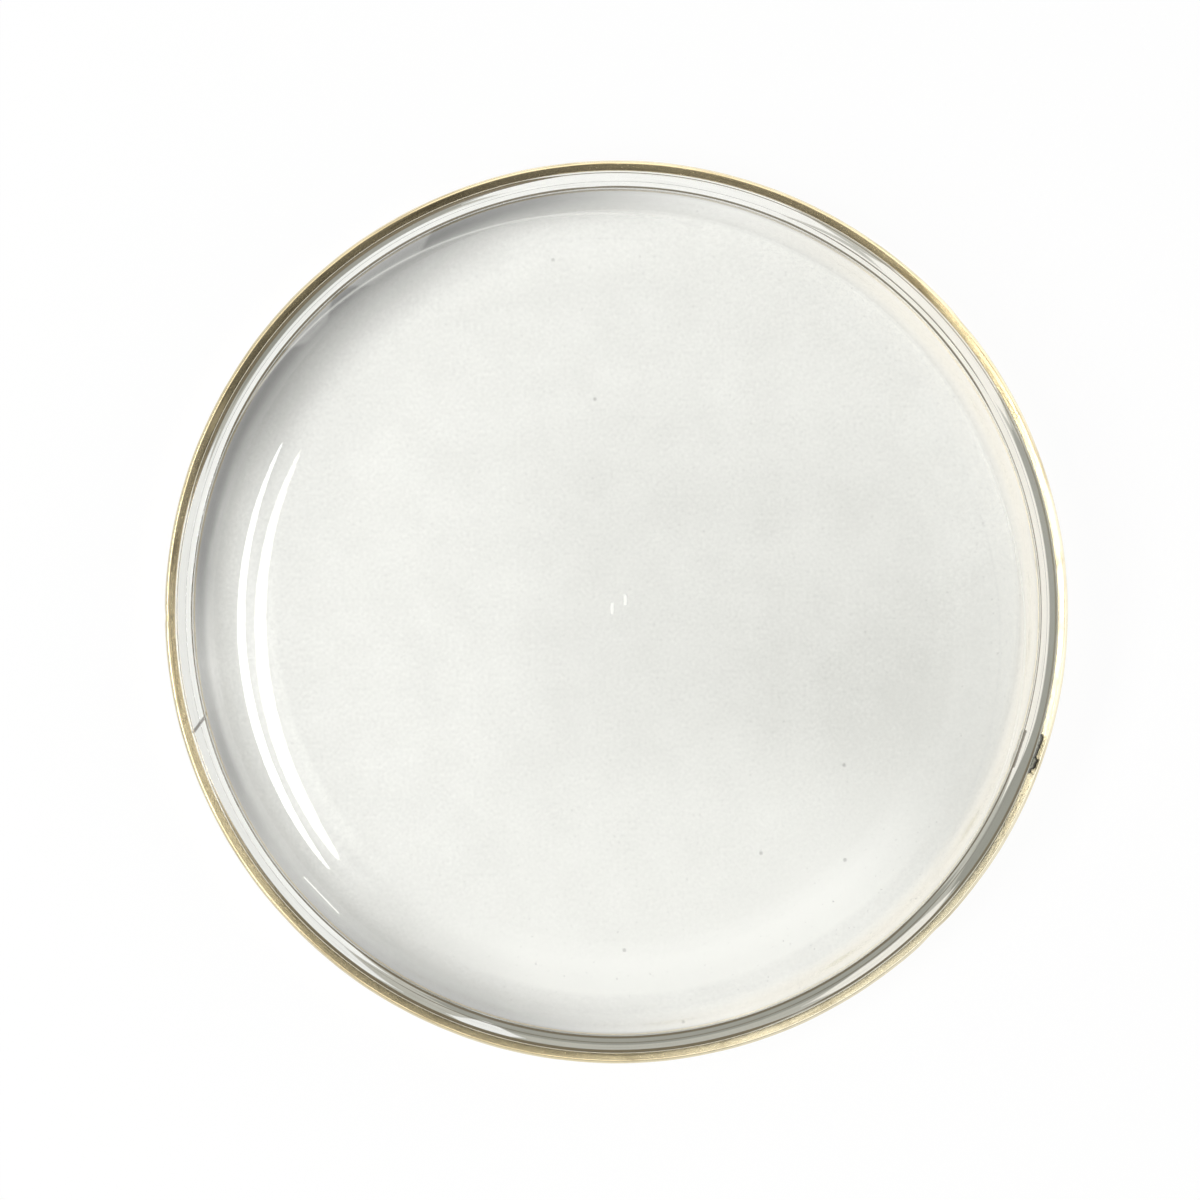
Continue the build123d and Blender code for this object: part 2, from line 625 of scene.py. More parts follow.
@dataclass(frozen=True)
class ClearPaneFinish:
    """Clear pane: a high polish, haze, dust, scratches, and painted shade and light. Lengths are millimetres.
    """

    body: Colour = (0.965, 0.97, 0.93, 1)
    # Lighter clear for the flange, and for the painted pools of light.
    clear_and_lit: Colour = (0.995, 1.0, 0.955, 1)
    # Painted light: the warm glow that the gold ring throws on the sheet.
    painted_glow: Colour = (1.0, 0.94, 0.80, 1)
    # Grey for haze, and for the painted shade towards the right.
    haze_and_shade: Colour = (0.635, 0.64, 0.60, 1)
    # Painted shade.
    painted_shade: Colour = (0.012, 0.012, 0.010, 1)
    grey: Colour = (0.30, 0.29, 0.23, 1)
    shade: Colour = (0.12, 0.12, 0.09, 1)
    # Dark for stains, dust, scratches and turned lines, and for the painted shade and reflection lines of the
    # flange.
    stain_and_shade: Colour = (0.035, 0.024, 0.010, 1)
    # White for a scratch, and for painted highlights and caustic lines.
    scuff_and_glint: Colour = (0.98, 0.98, 0.92, 1)
    ior: float = 1.49
    roughness: float = 0.015
    grain_roughness: float = 0.03
    scuff_and_glint_roughness: float = 0.45
    coarse_share: float = 0.3
    fine_share: float = 0.6
    dust_share: float = 0.5
    line_share: float = 0.12
    # How much the painted pale reflections thin the painted shade.
    reflection_patch_share: float = 0.12
    caustic_line_width: float = 0.09
    haze_fades: Pair = (13.9, 14.6)
    haze_left: float = 0.15

    def material(self, wear_and_light: PaneWearAndLight, flange: tuple[float, float, float]) -> Material:
        """Builds the clear material.

        Args:
            wear_and_light: The pane's marks of wear, and its painted shade and light.
            flange: The radii of the wall, the land's edge and the bevel's foot, in millimetres.

        Returns:
            The material.
        """
        material, sheet = new_material(Slot.PANE.value)
        fine, coarse = sheet.grain(8.0, 1.0)
        band = self.bands(sheet, flange)
        lines = sheet.effect("turned_lines", Lines=11.0, Breaks=5.0)
        dust = sheet.span(fine, 0.66, 0.80, 0.0, self.dust_share)
        # Dark: painted shade in the cove and crease, a painted reflection of the ring, and real turned lines,
        # dust, crack, chip and specks.
        dark_marks_and_shade = sheet.strongest(band["cove_shade_line"], band["crease_shade_line"], band["ring_reflection_line"],
                               sheet.product(lines, sheet.attribute("flange"), self.line_share),
                               sheet.product(dust, sheet.attribute("haze_and_shade")),
                               *self.scratches(sheet, (wear_and_light.crack, wear_and_light.chip, *wear_and_light.specks)))
        # White: a scratch, painted highlights at the middle, and painted caustic lines.
        white = sheet.strongest(*self.scratches(sheet, wear_and_light.white_scrapes_and_glints),
                                *self.circles(sheet, wear_and_light.caustic_lines))
        colour = sheet.blend(dark_marks_and_shade, self.tint(sheet, fine, coarse, band), self.stain_and_shade)
        rough = sheet.math("MULTIPLY_ADD", fine, self.grain_roughness, self.roughness)
        pane = sheet.node("BsdfPrincipled", {"Base Color": colour, "Roughness": rough, "Metallic": 0.0,
                                             "IOR": self.ior, "Transmission Weight": 1.0})
        scuff_and_glint_bsdf = sheet.node("BsdfPrincipled", {"Base Color": self.scuff_and_glint, "Roughness": self.scuff_and_glint_roughness,
                                                "Metallic": 0.0})
        both = sheet.node("MixShader", {0: white, 1: pane.outputs[0], 2: scuff_and_glint_bsdf.outputs[0]})
        sheet.node("OutputMaterial", {"Surface": both.outputs[0]})
        return material

    def bands(self, sheet: NodeSheet, flange: tuple[float, float, float]) -> dict[str, NodeSocket]:
        """Makes the painted shade and reflection lines, and the sectors of painted grey shade and of clear
        glass, round the flange, each from its middle radius and half its width.

        Args:
            sheet: The pane's sheet.
            flange: The radii of the wall, the land's edge and the bevel's foot.

        Returns:
            A mask for each painted amount, narrower where less is painted.
        """
        wall, land, skirt = flange
        mid_land, mid_bevel = (wall + land) / 2 + 0.04, (land + skirt) / 2
        places = {
            # Painted shade in the cove and along the crease, and a painted reflection of the ring at the
            # bevel's foot.
            "cove_shade_line": (wall + 0.025, 0.09),
            "crease_shade_line": (land, 0.06),
            "ring_reflection_line": (skirt - 0.06, 0.075),
            "bevel_shade": (mid_bevel, 0.21),
            "land_shade": (mid_land, 0.15),
            "clear_land": (mid_land, 0.15),
            "clear_bevel": (mid_bevel, 0.20),
            # Painted pale reflections across the wall.
            "painted_reflection_patches": (wall, 0.67),
        }
        return {name: sheet.effect("lens_band", Middle=middle, Half=half, Amount=sheet.attribute(name))
                for name, (middle, half) in places.items()}

    def scratches(self, sheet: NodeSheet, table: tuple[Mark, ...]) -> list[NodeSocket]:
        """Draws straight marks on the pane's outer side.

        Args:
            sheet: The pane's sheet.
            table: The marks.

        Returns:
            A mask for each mark.
        """
        outer = sheet.attribute("outer")
        lines = [(mark, sheet.effect("scratch", X1=mark.start[0], Y1=mark.start[1], X2=mark.end[0],
                                     Y2=mark.end[1], Width=mark.width)) for mark in table]
        return [sheet.product(line, mark.strength, outer) for mark, line in lines]

    def circles(self, sheet: NodeSheet, table: tuple[CausticLine, ...]) -> list[NodeSocket]:
        """Draws the painted pale caustic lines, each between the angles that are painted for it.

        Args:
            sheet: The pane's sheet.
            table: The circles.

        Returns:
            A mask for each circle.
        """
        return [sheet.product(sheet.attribute(f"ripple_{number}"),
                              sheet.effect("hairline", X=caustic_line.centre[0], Y=caustic_line.centre[1],
                                           Radius=caustic_line.radius, Width=self.caustic_line_width))
                for number, caustic_line in enumerate(table)]

    def tint(self, sheet: NodeSheet, fine: NodeSocket, coarse: NodeSocket,
             band: dict[str, NodeSocket]) -> NodeSocket:
        """Colours the dome by its haze, painted shade and painted light, and the flange by its sectors of
        painted grey shade and of clear glass.

        Args:
            sheet: The pane's sheet.
            fine: The fine mottling.
            coarse: The coarse mottling.
            band: The masks round the flange.

        Returns:
            The colour, before lines and scratches.
        """
        mottle = sheet.math("MULTIPLY_ADD", coarse, self.coarse_share, sheet.attribute("haze_and_shade"))
        mottle = sheet.math("MULTIPLY_ADD", sheet.math("SUBTRACT", fine, 0.5), self.fine_share, mottle)
        fading = sheet.span(sheet.axis_distance(), *self.haze_fades, 1.0, self.haze_left)
        # Haze, with painted shade towards the right.
        hazy_and_shaded = sheet.blend(sheet.product(mottle, fading), self.body, self.haze_and_shade)
        # Painted pools of light, and a painted warm glow from the ring.
        clear = sheet.blend(sheet.attribute("clear_and_lit"), hazy_and_shaded, self.clear_and_lit)
        clear = sheet.blend(sheet.attribute("painted_glow"), clear, self.painted_glow)
        # Painted shade, thinner where pale reflections are painted.
        highlight_lift = sheet.math("MULTIPLY_ADD", band["painted_reflection_patches"], -self.reflection_patch_share, 1.0)
        shaded_dome = sheet.blend(sheet.product(sheet.attribute("painted_shade"), highlight_lift), clear, self.painted_shade)
        shaded = sheet.blend(sheet.strongest(band["bevel_shade"], band["land_shade"]), self.grey, self.shade)
        sectors = sheet.blend(sheet.strongest(band["clear_land"], band["clear_bevel"]), shaded, clear)
        return sheet.blend(sheet.attribute("flange"), shaded_dome, sectors)


def build_axis_distance() -> None:
    """The distance in millimetres from an upright axis through X and Y."""
    sheet, given, sink = new_group("axis_distance", {"X": 0.0, "Y": 0.0}, ("Distance",))
    centre = sheet.node("CombineXYZ", {0: given["X"], 1: given["Y"]}).outputs[0]
    flat = sheet.vector("MULTIPLY", sheet.millimetres(), (1, 1, 0))
    sheet.feed(sink.inputs["Distance"], sheet.vector("DISTANCE", flat, centre))


def build_lens_band() -> None:
    """A band round the axis that thins out where its amount falls: amount - |radius - middle| / half."""
    sheet, given, sink = new_group("lens_band", {"Middle": 15.0, "Half": 0.1, "Amount": 1.0})
    off = sheet.math("ABSOLUTE", sheet.math("SUBTRACT", sheet.axis_distance(), given["Middle"]))
    left = sheet.math("SUBTRACT", given["Amount"], sheet.math("DIVIDE", off, given["Half"]))
    shown = sheet.math("GREATER_THAN", given["Amount"], 0.02)
    sheet.feed(sink.inputs["Mask"], sheet.product(sheet.span(left, -0.1, 0.2), shown))


def build_turned_lines() -> None:
    """Fine lines round the axis, in arcs: noise over radius times Lines and angle times Breaks."""
    sheet, given, sink = new_group("turned_lines", {"Lines": 10.0, "Breaks": 2.0})
    place = sheet.node("SeparateXYZ", {0: sheet.millimetres()})
    turn = sheet.math("ARCTAN2", place.outputs[1], place.outputs[0])
    across = sheet.product(sheet.axis_distance(), given["Lines"])
    sine = sheet.product(sheet.math("SINE", turn), given["Breaks"])
    cosine = sheet.product(sheet.math("COSINE", turn), given["Breaks"])
    spot = sheet.node("CombineXYZ", {0: across, 1: sine, 2: cosine})
    noise = sheet.node("TexNoise", {"Vector": spot.outputs[0], "Scale": 1.0, "Detail": 3.0})
    sheet.feed(sink.inputs["Mask"], sheet.span(noise.outputs[0], 0.52, 0.68))


def build_hairline() -> None:
    """A mask along a thin circle seen from above: 1 where the distance from its centre is its radius."""
    sheet, given, sink = new_group("hairline", {"X": 0.0, "Y": 0.0, "Radius": 14.0, "Width": 0.05})
    reach = sheet.axis_distance(X=given["X"], Y=given["Y"])
    off = sheet.math("ABSOLUTE", sheet.math("SUBTRACT", reach, given["Radius"]))
    sheet.feed(sink.inputs["Mask"], sheet.span(off, 0.0, given["Width"], 1.0, 0.0))


def build_scratch() -> None:
    """A mask along a straight mark seen from above: 1 minus the distance from it over its width.

    The nearest place on the mark is its start plus the vector to its end, times their projected share.
    """
    sheet, given, sink = new_group("scratch", {"X1": 0.0, "Y1": 0.0, "X2": 1.0, "Y2": 0.0, "Width": 0.1})
    start, end = (sheet.node("CombineXYZ", {0: given["X" + which], 1: given["Y" + which]}).outputs[0]
                  for which in "12")
    flat = sheet.vector("MULTIPLY", sheet.millimetres(), (1, 1, 0))
    from_start = sheet.vector("SUBTRACT", flat, start)
    along = sheet.vector("SUBTRACT", end, start)
    length = sheet.math("MAXIMUM", sheet.vector("DOT_PRODUCT", along, along), 1e-6)
    share = sheet.math("DIVIDE", sheet.vector("DOT_PRODUCT", from_start, along), length, clamp=True)
    off = sheet.vector("DISTANCE", from_start, sheet.scaled(along, share))
    noise = sheet.node("TexNoise", {"Vector": flat, "Scale": 14.0, "Detail": 2.0})
    ragged = sheet.product(given["Width"], sheet.math("ADD", noise.outputs[0], 0.5))
    full = sheet.product(ragged, 0.4)
    sheet.feed(sink.inputs["Mask"], sheet.span(off, full, ragged, 1.0, 0.0))


def build_grain() -> None:
    """Fine and coarse mottling: noise at so many spots a millimetre, and at a twelfth of that."""
    sheet, given, sink = new_group("surface_grain", {"Scale": 5.0, "Contrast": 1.0}, ("Fine", "Coarse"))
    place = sheet.millimetres()
    coarse_scale = sheet.math("DIVIDE", given["Scale"], 12.0)
    for name, scale, detail in (("Fine", given["Scale"], 4.0), ("Coarse", coarse_scale, 3.0)):
        noise = sheet.node("TexNoise", {"Vector": place, "Scale": scale, "Detail": detail})
        centred = sheet.math("SUBTRACT", noise.outputs[0], 0.5)
        sheet.feed(sink.inputs[name], sheet.math("MULTIPLY_ADD", centred, given["Contrast"], 0.5))


def build_edge_wear_and_sheen() -> None:
    """A mask that grows towards a radius, with an uneven border: radius plus noise over the reach."""
    sheet, given, sink = new_group("edge_wear_and_sheen", {"Rim": 16.0, "Reach": 0.1, "Raggedness": 0.5})
    noise = sheet.node("TexNoise", {"Vector": sheet.millimetres(), "Scale": 1.3, "Detail": 5.0})
    centred = sheet.math("SUBTRACT", noise.outputs[0], 0.5)
    shift = sheet.product(centred, given["Raggedness"], given["Reach"])
    uneven = sheet.math("ADD", sheet.axis_distance(), shift)
    start = sheet.math("SUBTRACT", given["Rim"], given["Reach"])
    sheet.feed(sink.inputs["Mask"], sheet.span(uneven, start, given["Rim"]))


def build_shared_effects() -> None:
    """Builds the node groups of both materials. The distance from the axis comes first: others use it."""
    for build_group in (build_axis_distance, build_grain, build_edge_wear_and_sheen, build_lens_band,
                        build_turned_lines, build_hairline, build_scratch):
        build_group()


@dataclass
class RimRing:
    """The gold-plated ring that the pane snaps into."""

    sizes: RingSizes
    finish: GiltFinish
    # Painted shade along the top of the ring.
    shaded_side: Marks = ((48, 150, 14, 0.25),)
    # Painted highlight from the bottom round the right of the ring.
    highlit_side: Marks = ((262, 404, 40, 0.9),)
    flats: Marks = ((311.6, 317.6, 3.0, 0.030), (37.3, 42.3, 2.5, 0.022), (179.3, 181.7, 1.2, 0.025))
    rubbed_down: float = 0.010 * MM
    rubbed_width: float = 0.3 * MM
    turns: int = 1440
    nick_turns: int = 240

    def build(self) -> Object:
        """Turns the band: a top that slopes down to its bore, and the groove for the pane.

        Returns:
            The ring.
        """
        s = self.sizes
        root = s.bore + s.groove_depth
        outline = rounded_outline(np.array([
            (s.bore, 0, 0.02, 2),
            (s.rim - s.edge_bevel, 0, 0.03, 2),
            (s.rim, s.edge_bevel, 0.03, 2),
            (s.rim, s.height - s.edge_bevel, 0.05, 3),
            (s.rim - s.edge_bevel, s.height, 0.05, 3),
            (s.bore, s.height - s.lip_fall, 0.02, 3),
            (s.bore, s.groove_level + s.groove_reach(s.bore), 0.01, 1),
            (root, s.groove_level + s.groove_reach(root), 0.02, 2),
            (root, s.groove_level - s.groove_reach(root), 0.02, 2),
            (s.bore, s.groove_level - s.groove_reach(s.bore), 0.01, 1),
        ]), closed=True)
        margin = 0.5
        window = (s.nick_from - margin, s.nick_to + margin, self.nick_turns)
        radius, angle, height = lathe_grid(outline, turn_angles(self.turns, (window,)))
        nick = self.nick_depth(angle) * (height > s.nick_ledge)
        nick *= 1 - soft_step(0, 0.8 * s.lip_width, radius - s.bore)
        near_rim = soft_step(s.rim - self.rubbed_width, s.rim, radius)
        piece = lathe_object("rim_ring_gilt", radius + nick - self.rim_loss(angle) * near_rim, angle, height,
                             closed=True)
        # Painted shade along the top of the ring.
        paint(piece, "shaded_side", marks(angle, self.shaded_side))
        # Painted highlight from the bottom round the right of the ring.
        paint(piece, "highlit_side", marks(angle, self.highlit_side))
        paint(piece, "nick_depth", self.nick_depth(angle) / MM * (height > s.groove_level))
        return piece

    def nick_depth(self, angle: ndarray) -> ndarray:
        """Works out how far the broken lip is bitten back: a few uneven teeth between the nick's two angles.

        Args:
            angle: Angles in radians.

        Returns:
            The depth at each angle.
        """
        s = self.sizes
        teeth = 0.80 + 0.15 * np.sin(160 * angle + 0.4) + 0.10 * np.sin(390 * angle + 1.9)
        first, last = s.nick_from, s.nick_to
        bites = ((first, first + 0.9, 0.3, 0.55), (first + 0.5, first + 2.4, 0.3, 1.0),
                 (first + 2.0, last - 1.4, 0.4, 0.5), (last - 1.8, last, 0.6, 0.75))
        return s.nick_bite * teeth * marks(angle, bites)

    def rim_loss(self, angle: ndarray) -> ndarray:
        """How much the rim is rubbed down: a slow waver, and a few flats."""
        waver = wander(angle, ((7, 0.004, 0.3), (19, 0.003, 2.1), (43, 0.002, 4.0), (97, 0.001, 1.2)))
        return self.rubbed_down + (waver + marks(angle, self.flats)) * MM

    def dress(self, piece: Object) -> None:
        """Gives the ring its gold and its place in the frame.

        Args:
            piece: The ring.
        """
        piece.data.materials.append(self.finish.material(self.sizes))
        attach(piece, "root")
        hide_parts("rim_ring")


@dataclass
class ClearPane:
    """The domed pane with its bevelled flange."""

    sizes: PaneSizes
    ring: RingSizes
    finish: ClearPaneFinish
    # The pane's wear, and its painted shade and light.
    wear_and_light: PaneWearAndLight = PaneWearAndLight()
    crease_reach: float = 0.08 * MM
    turns: int = 720

    @property
    def flange_radii(self) -> tuple[float, float, float]:
        """The radii of the wall, the land's edge and the bevel's foot."""
        s = self.sizes
        skirt = self.ring.bore - s.snap_clearance
        return skirt - s.flange_width, skirt - s.bevel_width, skirt

    def build(self) -> Object:
        """Turns the pane from its crown, down the shoulder and wall, round the flange and up inside.

        Returns:
            The pane.
        """
        s, ring = self.sizes, self.ring
        wall, land, skirt = self.flange_radii
        inner_wall = wall - s.wall_thickness
        tip = ring.bore + ring.groove_depth - s.snap_clearance
        inner_top = s.top - s.crown_thickness
        level = ring.groove_level
        centre_hole = 0.5 * MM
        outline = rounded_outline(np.array([
            (centre_hole, s.top, 0, 0),
            (wall, s.top, s.shoulder / MM, 24),
            (wall, s.flange_height, 0.10, 4),
            (land, s.flange_height, 0.02, 2),
            (skirt, s.flange_height - s.bevel_drop, 0.02, 2),
            (skirt, level + ring.groove_reach(skirt) - s.snap_clearance, 0.01, 1),
            (tip, level + ring.groove_reach(tip) - s.snap_clearance, 0.02, 2),
            (tip, level - ring.groove_reach(tip), 0.02, 2),
            (skirt, level - ring.groove_reach(skirt), 0.01, 1),
            (skirt, s.foot, 0.05, 3),
            (inner_wall, s.foot, 0.05, 3),
            (inner_wall, inner_top, s.inner_shoulder / MM, 24),
            (centre_hole, inner_top, 0, 0),
        ])[::-1], closed=False)
        radius, angle, height = lathe_grid(outline, turn_angles(self.turns))
        out, up = (column[:, None] for column in outline_normals(outline, closed=False).T)
        swell = self.moulding_waves(radius, angle, height)
        crease = np.hypot(outline[:, 0] - land, outline[:, 1] - s.flange_height)[:, None]
        scallop = self.crease_wander(angle) * np.exp(-((crease / self.crease_reach) ** 2))
        piece = lathe_object("crystal_pane", radius + out * swell + scallop, angle, height + up * swell,
                             closed=False)
        outside = (out > -0.5) & (up > -0.5)
        self.soil(piece, radius / MM, angle, height / MM, outside)
        return piece

    def soil(self, piece: Object, radius: ndarray, angle: ndarray, height: ndarray,
             outside: ndarray) -> None:
        """Paints how strongly each painted shade, haze, painted light, line and sector shows at each place.

        The painted shades lie over each other, so what each of them leaves clear is multiplied. The haze and
        the painted side shades are added. The painted pools of light go through the crown to its inner side.

        Args:
            piece: The pane.
            radius: Radius of each grid point, in millimetres.
            angle: Angle of each grid point, in radians.
            height: Height of each grid point, in millimetres.
            outside: True on the stations of the outer side.
        """
        s, wear_and_light = self.sizes, self.wear_and_light
        top, foot = s.flange_height / MM, (s.flange_height - s.bevel_drop) / MM
        edge, cove = 0.02, 0.03
        shown = outside & (height > foot - edge)
        upper = shown & (height > top + cove)
        flange = shown & ~upper
        # Painted shade: the dark crescent inside the wall, and the darker edge inside the cove.
        painted_shade = 1 - np.prod([1 - marks(angle, table) * soft_step(start, full, radius)
                            for table, start, full in wear_and_light.painted_shades], axis=0)
        inner, outer = wear_and_light.left_crescent[:2], wear_and_light.left_crescent[2:]
        left_crescent = soft_step(*inner, radius) * (1 - soft_step(*outer, radius))
        # Painted light: a pale crescent on the left, and a lighter rim at the bottom and lower right.
        clear_and_lit = np.maximum(marks(angle, wear_and_light.left_painted_light) * left_crescent,
                             marks(angle, wear_and_light.lower_painted_light) * soft_step(*wear_and_light.lower_rise, radius))
        through_crown = 1.5
        crown = height > s.top / MM - through_crown
        # Haze everywhere, with painted shade towards the right.
        on_right = soft_step(*wear_and_light.shoulder_right, radius * np.cos(angle))
        haze_and_shade = wear_and_light.haze_everywhere + wear_and_light.right_shoulder_shade * soft_step(*wear_and_light.shoulder, radius) * on_right
        for strength, towards, start, full in wear_and_light.painted_side_shades:
            haze_and_shade = haze_and_shade + strength * soft_step(start, full, radius * np.cos(angle - math.radians(towards)))
        # Painted light also: a warm glow inside the right of the ring, and pale reflection patches on the
        # upper left.
        layers = {"painted_shade": painted_shade * upper, "clear_and_lit": np.where(flange, 1.0, clear_and_lit * (upper | crown)),
                  "outer": 1.0 * shown, "flange": 1.0 * flange, "haze_and_shade": haze_and_shade * upper,
                  "painted_reflection_patches": marks(angle, wear_and_light.painted_reflection_patches) * upper,
                  "painted_glow": marks(angle, wear_and_light.painted_glow_marks) * soft_step(*wear_and_light.painted_glow_rise, radius) * shown}
        # Painted shade and reflection lines, and sectors of painted grey shade and of clear glass, round the
        # flange.
        for name in ("cove_shade_line", "crease_shade_line", "ring_reflection_line", "bevel_shade", "land_shade", "clear_land",
                     "clear_bevel"):
            layers[name] = marks(angle, getattr(wear_and_light, name)) * flange
        # Painted light: pale caustic lines.
        for number, caustic_line in enumerate(wear_and_light.caustic_lines):
            window = marks(angle, ((caustic_line.first, caustic_line.last, caustic_line.ramp, caustic_line.strength),))
            layers[f"ripple_{number}"] = window * upper
        for name, values in layers.items():
            paint(piece, name, values)

    def moulding_waves(self, radius: ndarray, angle: ndarray, height: ndarray) -> ndarray:
        """Works out faint swells of the shoulder and wall: three waves round the axis that lean with height.

        Args:
            radius: Radius of each grid point.
            angle: Angle of each grid point, in radians.
            height: Height of each grid point.

        Returns:
            How far each grid point is moved along the normal.
        """
        lean = height * 900
        waves = (0.0012 * np.sin(13 * angle + lean + 0.7) + 0.0006 * np.sin(29 * angle - 1.7 * lean + 2.0)
                 + 0.0003 * np.sin(53 * angle + 2.3 * lean)) * MM
        above_flange = soft_step(self.sizes.flange_height, 2.2 * MM, height)
        return waves * soft_step(11.5 * MM, 13.0 * MM, radius) * above_flange

    def crease_wander(self, angle: ndarray) -> ndarray:
        """How far the hand-finished edge of the bevel wavers in and out."""
        return wander(angle, ((9, 0.016, 1.0), (17, 0.012, 3.3), (31, 0.008, 0.2), (61, 0.004, 5.0))) * MM

    def dress(self, piece: Object) -> None:
        """Gives the pane its clear finish and its place in the frame.

        Args:
            piece: The pane.
        """
        flange = tuple(radius / MM for radius in self.flange_radii)
        piece.data.materials.append(self.finish.material(self.wear_and_light, flange))
        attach(piece, "root")
        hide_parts("crystal")


@dataclass
class SheetFloor:
    """The pale sheet that the crystal lies on."""

    half_width: float = 0.9
    colour: Colour = (0.93, 0.93, 0.92, 1)
    camera_share: float = 0.93
    through_share: float = 0.85

    def build(self) -> Object:
        """Lays the sheet at the ring's foot, as four corners.

        Returns:
            The sheet.
        """
        w = self.half_width
        points = np.array([(-w, -w, 0), (w, -w, 0), (w, w, 0), (-w, w, 0)])
        sheet = mesh_object("sheet_floor", points, np.array([[0, 1, 2, 3]]), np.empty((0, 3), int))
        sheet.data.materials.append(self.material())
        return sheet

    def material(self) -> Material:
        """Makes matt white that also glows plain white towards the camera and through the pane.

        Returns:
            The material.
        """
        material, sheet = new_material("sheet_floor")
        path = sheet.node("LightPath").outputs
        through = sheet.strongest(path["Is Glossy Ray"], path["Is Transmission Ray"])
        share = sheet.strongest(sheet.product(path["Is Camera Ray"], self.camera_share),
                                sheet.product(through, self.through_share))
        matt = sheet.node("BsdfDiffuse", {"Color": self.colour})
        glow = sheet.node("Emission", {"Color": (1, 1, 1, 1), "Strength": 1.0})
        both = sheet.node("MixShader", {0: share, 1: matt.outputs[0], 2: glow.outputs[0]})
        sheet.node("OutputMaterial", {"Surface": both.outputs[0]})
        return material


@dataclass(frozen=True)
class DarkCard:
    """A small dark card level with the camera, which the flat crown mirrors as a faint shade."""

    across: float = 0.0117
    beyond: float = 0.0004
    level: float = 0.260
    width: float = 0.042
    depth: float = 0.031
    fade: float = 0.009
    strength: float = 0.6
    colour: Colour = (0.05, 0.05, 0.05, 1)

    def build(self) -> Object:
        """Hangs the card over the crystal, face down, where neither the camera nor plain light meets it.

        Returns:
            The card.
        """
        across, beyond = self.width / 2, self.depth / 2
        points = np.array([(-across, -beyond, 0), (-across, beyond, 0), (across, beyond, 0),
                           (across, -beyond, 0)])
        card = mesh_object("dark_card", points + (self.across, self.beyond, self.level),
                           np.array([[0, 1, 2, 3]]), np.empty((0, 3), int))
        card.data.materials.append(self.material())
        card.visible_diffuse = card.visible_shadow = card.visible_camera = False
        return card

    def material(self) -> Material:
        """Makes a matt dark that clears towards the card's four edges.

        Returns:
            The material.
        """
        material, sheet = new_material("dark_card")
        off = sheet.vector("SUBTRACT", sheet.millimetres(), (self.across / MM, self.beyond / MM, 0))
        place = sheet.node("SeparateXYZ", {0: off})
        shares = [sheet.span(sheet.math("ABSOLUTE", place.outputs[axis]), (size / 2 - self.fade) / MM,
                             size / 2 / MM, self.strength, 0.0)
                  for axis, size in enumerate((self.width, self.depth))]
        matt = sheet.node("BsdfDiffuse", {"Color": self.colour})
        gone = sheet.node("BsdfTransparent")
        share = sheet.math("MINIMUM", *shares)
        both = sheet.node("MixShader", {0: share, 1: gone.outputs[0], 2: matt.outputs[0]})
        sheet.node("OutputMaterial", {"Surface": both.outputs[0]})
        return material


@dataclass(frozen=True)
class Lamp:
    """An oval soft box that faces the crystal from a direction, and may be slid along its own length."""

    name: str
    azimuth: float
    elevation: float
    distance: float
    width: float
    height: float
    radiance: float
    slide: float = 0.0

    def build(self) -> None:
        """Makes the box. Its power is radiance * area * pi, and its area pi / 4 * width * height."""
        data = bpy.data.lights.new(self.name, "AREA")
        data.shape = "ELLIPSE"
        data.size, data.size_y = self.width, self.height
        data.energy = self.radiance * self.width * self.height * math.pi ** 2 / 4
        box = bpy.data.objects.new(self.name, data)
        azimuth, elevation = math.radians(self.azimuth), math.radians(self.elevation)
        out = self.distance * math.cos(elevation)
        box.location = (out * math.cos(azimuth) - self.slide * math.sin(azimuth),
                        out * math.sin(azimuth) + self.slide * math.cos(azimuth),
                        self.distance * math.sin(elevation))
        box.rotation_euler = (math.pi / 2 - elevation, 0, azimuth + math.pi / 2)
        box.visible_camera = False
        bpy.context.scene.collection.objects.link(box)


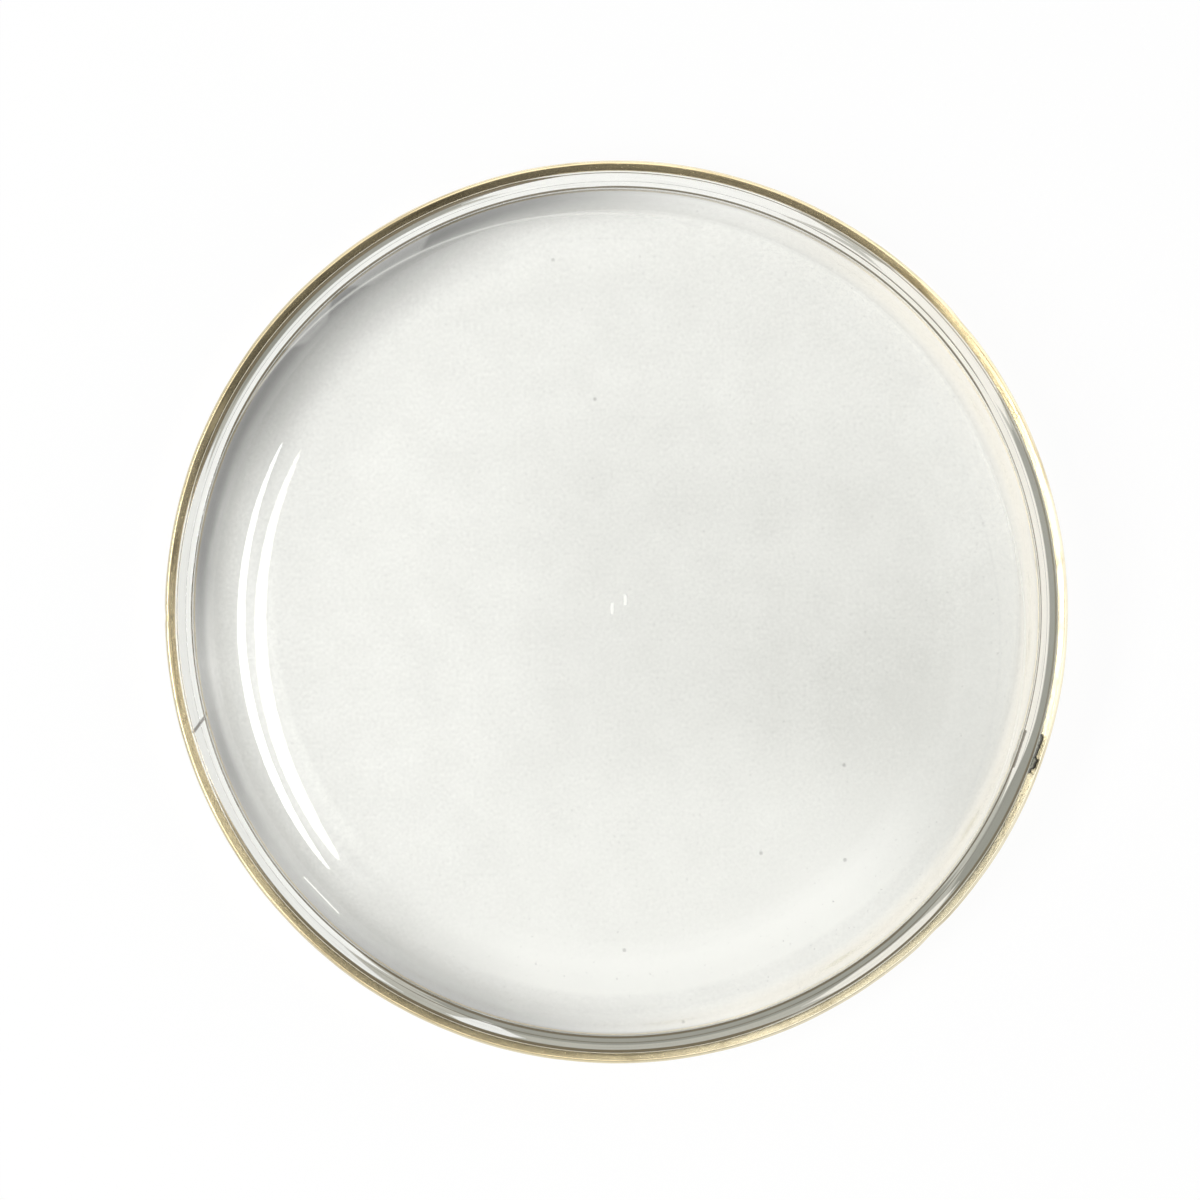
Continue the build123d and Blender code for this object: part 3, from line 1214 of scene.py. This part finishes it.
@dataclass(frozen=True)
class Studio:
    """Plain soft light: a white surround that is stronger on the right, and a strip on the left.

    The surround is mirrored brighter on one side than on the other, as in a room with a window. Its left
    horizon is mirrored dim, and a soft glow stands over the lower left. Each ramp runs between two cosines.
    """

    surround: float = 0.62
    mirrored_from: float = 75
    mirrored_dim: float = 0.60
    mirrored_bright: float = 2.10
    mirrored_ramp: Pair = (-0.6, 0.6)
    left_horizon: float = 0.20
    left_ramp: Pair = (-0.85, -0.35)
    glow: float = 2.5
    glow_azimuth: float = 197
    glow_elevation: float = 53
    glow_ramp: Pair = (0.93, 0.99)
    lamp: Lamp = Lamp("left_strip", 163, 48, 0.25, 0.302, 0.056, 12.5, slide=0.122)

    def build(self) -> None:
        """Makes the surround and the lamp."""
        self.build_surround()
        self.lamp.build()

    def build_surround(self) -> None:
        """White to the camera and through the pane, uneven in reflections, and a soft fill otherwise."""
        world = bpy.data.worlds.new("surround")
        bpy.context.scene.world = world
        world.use_nodes = True
        world.node_tree.nodes.clear()
        sheet = NodeSheet(world.node_tree)
        path = sheet.node("LightPath").outputs
        direct = sheet.math("LESS_THAN", path["Diffuse Depth"], 0.5)
        bounced = sheet.math("GREATER_THAN", path["Glossy Depth"], 0.5)
        seen = sheet.strongest(path["Is Camera Ray"], path["Is Transmission Ray"])
        shown = sheet.product(seen, direct, sheet.math("SUBTRACT", 1.0, bounced))
        direction = sheet.node("TexCoord").outputs["Generated"]
        rightwards = sheet.node("SeparateXYZ", {0: direction}).outputs[0]
        fill = sheet.math("MULTIPLY_ADD", rightwards, self.surround, self.surround)
        level = self.mirrored_level(sheet, direction, rightwards)
        mirrored = sheet.product(bounced, direct)
        plain = sheet.math("MULTIPLY_ADD", mirrored, sheet.math("SUBTRACT", level, fill), fill)
        light = sheet.node("Background", {"Color": (1, 1, 1, 1), "Strength": sheet.strongest(plain, shown)})
        output = world.node_tree.nodes.new("ShaderNodeOutputWorld")
        sheet.feed(output.inputs["Surface"], light.outputs[0])

    def mirrored_level(self, sheet: NodeSheet, direction: NodeSocket,
                       rightwards: NodeSocket) -> NodeSocket:
        """The surround's brightness in reflections.

        Args:
            sheet: The surround's sheet.
            direction: The way that a ray goes.
            rightwards: Its share along +X.

        Returns:
            The brightness.
        """
        bright_side = math.radians(self.mirrored_from)
        towards = sheet.vector("DOT_PRODUCT", direction, (math.cos(bright_side), math.sin(bright_side), 0))
        sides = sheet.span(towards, *self.mirrored_ramp, self.mirrored_dim, self.mirrored_bright)
        level = sheet.product(sides, sheet.span(rightwards, *self.left_ramp, self.left_horizon, 1.0))
        azimuth, elevation = math.radians(self.glow_azimuth), math.radians(self.glow_elevation)
        out = math.cos(elevation)
        aim = (math.cos(azimuth) * out, math.sin(azimuth) * out, math.sin(elevation))
        near = sheet.vector("DOT_PRODUCT", direction, aim)
        return sheet.math("ADD", level, sheet.span(near, *self.glow_ramp, 0.0, self.glow))


@dataclass(frozen=True)
class Viewpoint:
    """The camera, straight above, a little left of and beyond the crystal's axis."""

    rim_radius: float
    rim_level: float
    frame_pixels: float = 1200
    rim_pixels: float = 452.0
    across_pixels: float = -16.4
    up_pixels: float = 12.0
    distance: float = 0.255
    sensor: float = 36.0

    def build(self) -> Object:
        """Makes the camera so that the ring's top has its size in the photograph.

        Returns:
            The camera.
        """
        scale = self.rim_radius / self.rim_pixels
        data = bpy.data.cameras.new("viewpoint")
        data.sensor_width = self.sensor
        data.lens = self.sensor * (self.distance - self.rim_level) / (self.frame_pixels * scale)
        data.clip_start, data.clip_end = 0.01, 10.0
        camera = bpy.data.objects.new("viewpoint", data)
        camera.location = (self.across_pixels * scale, self.up_pixels * scale, self.distance)
        bpy.context.scene.collection.objects.link(camera)
        bpy.context.scene.camera = camera
        return camera


def main() -> None:
    """Builds the crystal, its sheet, its light and its camera."""
    logging.basicConfig(level=logging.INFO, format="%(name)s: %(message)s")
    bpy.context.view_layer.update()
    scene = bpy.context.scene
    scene.view_settings.view_transform = "Standard"
    scene.cycles.blur_glossy = 0.0
    ring_low, ring_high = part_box("rim_ring")
    pane_low, pane_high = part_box("crystal")
    ring_sizes = RingSizes(rim=(ring_high.x - ring_low.x) / 2, height=ring_high.z)
    pane_sizes = PaneSizes(top=pane_high.z, foot=pane_low.z)
    build_shared_effects()
    ring = RimRing(ring_sizes, GiltFinish())
    pane = ClearPane(pane_sizes, ring_sizes, ClearPaneFinish())
    for part in (ring, pane):
        piece = part.build()
        part.dress(piece)
        LOG.info("%s has %d faces", piece.name, len(piece.data.polygons))
    SheetFloor().build()
    DarkCard().build()
    Studio().build()
    Viewpoint(ring_sizes.rim, ring_sizes.height).build()


if __name__ == "__main__":
    main()
